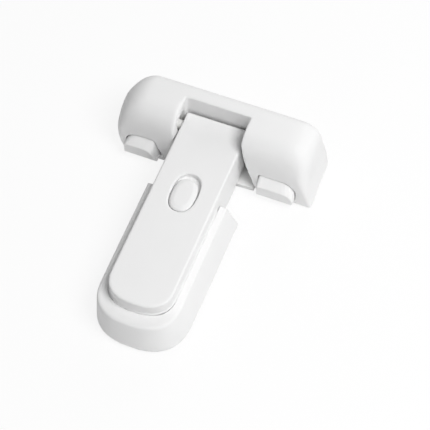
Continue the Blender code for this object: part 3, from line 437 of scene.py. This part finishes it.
class LOCK_OT_head_cover(bpy.types.Operator):
    """The crossbar cover, with soft edges and a wider round along the slot's left rim"""
    bl_idname = "lock.head_cover"
    bl_label = "Head Cover"

    def execute(self, context):
        low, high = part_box("arm_cover")
        rim = low.x
        window_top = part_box("left_button")[1].z - WINDOW_DROP
        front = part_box("head_shell")[0].y
        spread, height = sizes().mouth_spread, sizes().mouth_height

        def away_from_windows(place):
            below = place.z < window_top and abs(place.x) > WINDOW_START
            return WINDOW_PACE if below and place.y < front + WINDOW_DEPTH else 1.0

        def left_rim(place):
            mouth_edge = rim - spread * max(0.0, 1.0 - place.z / height)
            across = 1.0 - abs(place.x - mouth_edge) / RIM_FADE
            above_foot = (place.z - RIM_FOOT) / RIM_FOOT_FADE
            return held(across, above_foot) if place.y < high.y - RIM_BACK else 0.0

        def crown_ends(place):
            beyond = (abs(place.x) - CROWN_START) / CROWN_FADE
            above = (place.z - window_top - CROWN_RISE) / CROWN_RISE_FADE
            return held(beyond, above)

        def back_ends(place):
            start = LEFT_BACK_START if place.x < 0 else RIGHT_BACK_START
            beyond = (abs(place.x) - start) / BACK_FADE
            behind = (place.y + BACK_DEPTH) / BACK_FADE
            return held(beyond, behind)

        passes = ((EVEN_PASSES, away_from_windows), (RIM_PASSES, left_rim), (CROWN_PASSES, crown_ends),
                  (BACK_PASSES, back_ends))
        piece = soft_skin("head_shell", "head_cover", sizes().head_skin, passes)
        thinned(piece, HEAD_KEEP)
        self.fill_right_waist(piece)
        self.close_left_mouth(piece, rim)
        standing_for(piece, "head_shell", "housing", cover_finish())
        return {"FINISHED"}

    def fill_right_waist(self, piece):
        """Fills the hollow between the right end's crown and its flared foot towards the back."""
        height, fill = sizes().waist_height, sizes().waist_fill
        for point in piece.data.vertices:
            if point.co.x > WAIST_START and point.normal.x > WAIST_FACING:
                tall = math.exp(-((point.co.z - height) / WAIST_SPREAD) ** 2)
                behind = held((point.co.y - WAIST_FRONT) / WAIST_FADE)
                point.co.x += fill * tall * behind * point.normal.x

    def close_left_mouth(self, piece, rim):
        """Draws the slot's left wall in towards the arm, so that its rounded edge lies beside the arm."""
        wall, drawing = rim - MOUTH_INSET, sizes().mouth_drawing
        for point in piece.data.vertices:
            beyond = (wall - point.co.x) / MOUTH_SPAN
            above_foot = (point.co.z - MOUTH_FOOT) / MOUTH_FOOT_FADE
            below_top = (MOUTH_TOP - point.co.z) / MOUTH_TOP_FADE
            tall = held(above_foot, below_top)
            if 0 < beyond < 1 and tall > 0 and point.co.y < 0:
                front = held(-point.co.y / MOUTH_DEPTH)
                drawn = beyond - beyond ** drawing
                point.co.x += MOUTH_SPAN * drawn * front * tall


class LOCK_OT_finger_buttons(bpy.types.Operator):
    """The two finger buttons, with eased edges"""
    bl_idname = "lock.finger_buttons"
    bl_label = "Finger Buttons"

    def execute(self, context):
        for word in SIDES:
            piece = soft_skin(f"{word}_button", f"{word}_finger_button", sizes().thumb_skin,
                              ((sizes().button_passes, None),))
            thinned(piece, BUTTON_KEEP)
            standing_for(piece, f"{word}_button", f"{word}_button", cover_finish())
        return {"FINISHED"}


class LOCK_OT_arm_top(bpy.types.Operator):
    """The arm's moulded cover, with the rim of its oval recess rounded"""
    bl_idname = "lock.arm_top"
    bl_label = "Arm Cover"

    def execute(self, context):
        piece = soft_skin("arm_cover", "arm_top", sizes().arm_skin, ((ARM_PASSES, None),))
        self.close_to_tray(piece)
        thinned(piece, ARM_KEEP)
        standing_for(piece, "arm_cover", "arm", cover_finish())
        return {"FINISHED"}

    def close_to_tray(self, piece):
        """Brings the arm's wall close to the tray at the ledge, so that only a hairline is left."""
        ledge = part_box("base_shell")[1].z
        tray_start = max(point.co.y for point in frame["nodes"]["base_shell"].data.vertices
                         if point.co.z > ledge - LEDGE_EDGE)
        low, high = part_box("arm_cover")
        centre = Vector((0, (low.y + tray_start) / 2))
        side_closing, end_closing, ledge_lip = sizes().side_closing, sizes().end_closing, sizes().ledge_lip
        moves = []
        for point in piece.data.vertices:
            out = point.normal.to_2d()
            outer = abs(point.co.x) > high.x - SIDE_BAND or point.co.y < low.y + END_BAND
            if not outer or out.length < UPRIGHT_SHARE or out.dot(point.co.to_2d() - centre) < 0:
                continue
            below_top = (ledge + BAND_TOP - point.co.z) / BAND_TOP
            above_foot = (point.co.z - ledge + BAND_FOOT) / BAND_FOOT_FADE
            along = (tray_start - point.co.y) / TRAY_FADE
            fade = held(below_top, above_foot, along)
            if fade > 0:
                out.normalize()
                reach = out.x ** 2 * side_closing + out.y ** 2 * end_closing
                lip = ledge_lip * max(0.0, 1.0 - abs(point.co.z - ledge) / LIP_HEIGHT)
                moves.append((point, out * (fade * reach + held(along) * lip)))
        for point, step in moves:
            point.co.x += step.x
            point.co.y += step.y


class LOCK_OT_thumb_oval(bpy.types.Operator):
    """The oval thumb piece in the arm's recess"""
    bl_idname = "lock.thumb_oval"
    bl_label = "Thumb Piece"

    def execute(self, context):
        piece = soft_skin("slider_button", "thumb_oval", sizes().thumb_skin, ((THUMB_PASSES, None),))
        thinned(piece, BUTTON_KEEP)
        standing_for(piece, "slider_button", "slider", cover_finish())
        return {"FINISHED"}


class LOCK_OT_base_tray(bpy.types.Operator):
    """The stepped base, round outside and close to the arm inside"""
    bl_idname = "lock.base_tray"
    bl_label = "Base"

    def execute(self, context):
        low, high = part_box("arm_cover")
        open_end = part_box("base_shell")[1].y

        def beyond_arm(place):
            """How far a place lies outside the arm's plan, whose end is round."""
            along = max(0.0, low.y + ARM_END_DEPTH - place.y) / ARM_END_DEPTH
            if along == 0:
                return abs(place.x) - high.x
            across = abs(place.x) / high.x
            return (math.hypot(along, across) - 1.0) * ARM_END_DEPTH

        def outside(place):
            return 1.0 if beyond_arm(place) > WALL_START else 0.0

        def outer_wall(place):
            beyond = (beyond_arm(place) - WALL_START) / WALL_FADE
            above_foot = (place.z - WALL_FOOT) / WALL_FOOT_FADE
            at_end = (low.y + END_START - place.y) / END_FADE
            from_open_end = (open_end - OPEN_END - place.y) / OPEN_END_FADE
            pace = max(SIDE_PACE, min(1.0, at_end))
            return held(pace, beyond, above_foot, from_open_end)

        piece = soft_skin("base_shell", "base_tray", sizes().arm_skin,
                          ((BASE_PASSES, outside), (WALL_PASSES, outer_wall)))
        thinned(piece, BASE_KEEP)
        standing_for(piece, "base_shell", "housing", cover_finish())
        return {"FINISHED"}


class LOCK_OT_inner_pieces(bpy.types.Operator):
    """Plates, bolts, hook and catch, with eased edges"""
    bl_idname = "lock.inner_pieces"
    bl_label = "Inner Pieces"

    def execute(self, context):
        plates = {"head_back_plate": "housing", "arm_bottom_plate": "arm", "base_bottom_plate": "housing"}
        for node, body in plates.items():
            piece = eased_copy(node, f"{node}_eased", sizes().eased_edge)
            standing_for(piece, node, body, inner_finish())
        slides = {"left_pivot_bolt": "left_bolt", "right_pivot_bolt": "right_bolt",
                  "slider_carriage": "slider", "base_catch": "housing"}
        for node, body in slides.items():
            piece = eased_copy(node, f"{node}_eased", sizes().eased_edge)
            standing_for(piece, node, body, bolt_finish())
        return {"FINISHED"}


class LOCK_OT_return_coils(bpy.types.Operator):
    """The coil springs behind the bolts, wound at one fixed length; in the lock they shorten as the bolts
    are drawn back
    """
    bl_idname = "lock.return_coils"
    bl_label = "Return Coils"

    def execute(self, context):
        wire, radius, turns = sizes().coil_wire, sizes().coil_radius, sizes().coil_turns
        for word, side in SIDES.items():
            low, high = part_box(f"{word}_bolt_spring")
            start = low.x + wire
            rise = (high.x - low.x - 2 * wire) / turns
            bpy.ops.object.select_all(action="DESELECT")
            bpy.ops.mesh.primitive_circle_add(vertices=COIL_SECTION, radius=wire,
                                              location=(start, radius, HINGE[2]), rotation=(0, 0, 0))
            piece = context.active_object
            piece.name = f"{word}_return_coil"
            bpy.ops.object.transform_apply(location=True, rotation=True, scale=True)
            piece.data.transform(Matrix.Translation((0, 0, -HINGE[2])))
            applied(piece, "wound", "SCREW", axis="X", angle=math.tau, screw_offset=rise, iterations=turns,
                    steps=COIL_STEPS, render_steps=COIL_STEPS, use_merge_vertices=False,
                    use_normal_calculate=True)
            piece.data.transform(Matrix.Translation((0, 0, HINGE[2])))
            self.close_ends()
            only(piece)
            bpy.ops.object.shade_smooth_by_angle(angle=COIL_SMOOTH_ANGLE)
            standing_for(piece, f"{word}_bolt_spring", "housing", steel_finish())
            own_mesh(piece)
        return {"FINISHED"}

    def close_ends(self):
        """Closes the wire's two cut ends and turns all faces outwards."""
        bpy.ops.object.mode_set(mode="EDIT")
        bpy.ops.mesh.select_all(action="DESELECT")
        bpy.ops.mesh.select_mode(type="EDGE")
        bpy.ops.mesh.select_non_manifold()
        bpy.ops.mesh.edge_face_add()
        bpy.ops.mesh.select_all(action="SELECT")
        bpy.ops.mesh.normals_make_consistent(inside=False)
        bpy.ops.object.mode_set(mode="OBJECT")


class LOCK_OT_fixings(bpy.types.Operator):
    """Finishes for the screws, the detent strip and the foam pads"""
    bl_idname = "lock.fixings"
    bl_label = "Fixings and Pads"

    def execute(self, context):
        tape = foam("tape_foam", colours().tape_foam)
        for name, node in frame["nodes"].items():
            if "screw" in name or "detent" in name:
                node.data.materials.clear()
                node.data.materials.append(steel_finish())
            elif name.endswith("pad"):
                node.data.materials.clear()
                node.data.materials.append(tape)
        return {"FINISHED"}


class LOCK_OT_stage(bpy.types.Operator):
    """White paper, a soft key light from the upper right, two weak fills and the camera"""
    bl_idname = "lock.stage"
    bl_label = "Stage"

    def execute(self, context):
        scene = context.scene
        scene.view_settings.view_transform = "Standard"
        self.paper()
        self.room(scene)
        for name, (place, power) in LAMPS.items():
            self.lamp(scene, name, place, power)
        self.camera(scene)
        return {"FINISHED"}

    def paper(self):
        """A white floor that glows a little where it is seen, and is plain paper to the lamps."""
        bpy.ops.object.select_all(action="DESELECT")
        bpy.ops.mesh.primitive_plane_add(size=PAPER_SIZE, location=(0, 0, 0))
        floor = bpy.context.active_object
        floor.name = "paper_floor"
        made = bpy.data.materials.new("floor_paper")
        made.use_nodes = True
        tree = made.node_tree
        tree.nodes.remove(tree.nodes["Principled BSDF"])
        matte = shader_node(tree, "ShaderNodeBsdfDiffuse", {"Color": (*colours().floor_white, 1.0)})
        glow = shader_node(tree, "ShaderNodeEmission", {"Strength": 1.0})
        share = shader_node(tree, "ShaderNodeMath", {1: PAPER_GLOW}, operation="MULTIPLY")
        tree.links.new(self.seen(tree), share.inputs[0])
        mix = shader_node(tree, "ShaderNodeMixShader")
        tree.links.new(share.outputs[0], mix.inputs["Fac"])
        tree.links.new(matte.outputs["BSDF"], mix.inputs[1])
        tree.links.new(glow.outputs["Emission"], mix.inputs[2])
        tree.links.new(mix.outputs["Shader"], tree.nodes["Material Output"].inputs["Surface"])
        floor.data.materials.append(made)

    def seen(self, tree):
        """1 for rays from the camera, a reflection or a refraction."""
        ray = shader_node(tree, "ShaderNodeLightPath")
        total = ray.outputs["Is Camera Ray"]
        for kind in ("Is Glossy Ray", "Is Transmission Ray"):
            most = shader_node(tree, "ShaderNodeMath", operation="MAXIMUM")
            tree.links.new(total, most.inputs[0])
            tree.links.new(ray.outputs[kind], most.inputs[1])
            total = most.outputs[0]
        return total

    def room(self, scene):
        """A room that looks white and lights the lock only weakly."""
        world = bpy.data.worlds.new("white_room")
        scene.world = world
        world.use_nodes = True
        tree = world.node_tree
        ambient = tree.nodes["Background"]
        ambient.inputs["Color"].default_value = PURE_WHITE
        ambient.inputs["Strength"].default_value = ROOM_LIGHT
        white = shader_node(tree, "ShaderNodeBackground", {"Color": PURE_WHITE, "Strength": 1.0})
        mix = shader_node(tree, "ShaderNodeMixShader")
        tree.links.new(self.seen(tree), mix.inputs["Fac"])
        tree.links.new(ambient.outputs["Background"], mix.inputs[1])
        tree.links.new(white.outputs["Background"], mix.inputs[2])
        tree.links.new(mix.outputs["Shader"], tree.nodes["World Output"].inputs["Surface"])

    def lamp(self, scene, name, place, power):
        """A round soft lamp aimed at the lock."""
        lamp = bpy.data.lights.new(name, "AREA")
        lamp.shape = "DISK"
        lamp.size = LAMP_SIZE
        lamp.energy = power
        made = bpy.data.objects.new(name, lamp)
        made.location = place
        made.rotation_euler = (LAMP_AIM - Vector(place)).to_track_quat("-Z", "Y").to_euler()
        scene.collection.objects.link(made)

    def camera(self, scene):
        """The camera, above the base's end and a little to its right."""
        lens = bpy.data.cameras.new("camera")
        lens.sensor_width = CAMERA_SENSOR
        lens.lens = CAMERA_LENS
        lens.clip_start = CAMERA_NEAR
        lens.clip_end = CAMERA_FAR
        made = bpy.data.objects.new("camera", lens)
        made.location = CAMERA_PLACE
        made.rotation_euler = [math.radians(angle) for angle in CAMERA_TURN]
        scene.collection.objects.link(made)
        scene.camera = made


OPERATORS = (LOCK_OT_head_cover, LOCK_OT_finger_buttons, LOCK_OT_arm_top, LOCK_OT_thumb_oval,
             LOCK_OT_base_tray, LOCK_OT_inner_pieces, LOCK_OT_return_coils, LOCK_OT_fixings, LOCK_OT_stage)


class LOCK_PT_pieces(bpy.types.Panel):
    """Lists the lock's pieces, sizes and colours"""
    bl_idname = "LOCK_PT_pieces"
    bl_label = "Safety Lock"
    bl_space_type = "VIEW_3D"
    bl_region_type = "UI"
    bl_category = "Safety Lock"

    def draw(self, context):
        for group in (context.scene.lock_sizes, context.scene.lock_colours):
            box = self.layout.box()
            for key in group.bl_rna.properties.keys():
                if key not in ("rna_type", "name"):
                    box.prop(group, key)
        for operator in OPERATORS:
            self.layout.operator(operator.bl_idname)


CLASSES = (LockSizes, LockColours, *OPERATORS, LOCK_PT_pieces)


def register():
    for kind in CLASSES:
        bpy.utils.register_class(kind)
    bpy.types.Scene.lock_sizes = bpy.props.PointerProperty(type=LockSizes)
    bpy.types.Scene.lock_colours = bpy.props.PointerProperty(type=LockColours)


def unregister():
    del bpy.types.Scene.lock_colours
    del bpy.types.Scene.lock_sizes
    for kind in reversed(CLASSES):
        bpy.utils.unregister_class(kind)


def main():
    register()
    bpy.ops.lock.head_cover()
    bpy.ops.lock.finger_buttons()
    bpy.ops.lock.arm_top()
    bpy.ops.lock.thumb_oval()
    bpy.ops.lock.base_tray()
    bpy.ops.lock.inner_pieces()
    bpy.ops.lock.return_coils()
    bpy.ops.lock.fixings()
    bpy.ops.lock.stage()


if __name__ == "__main__":
    main()
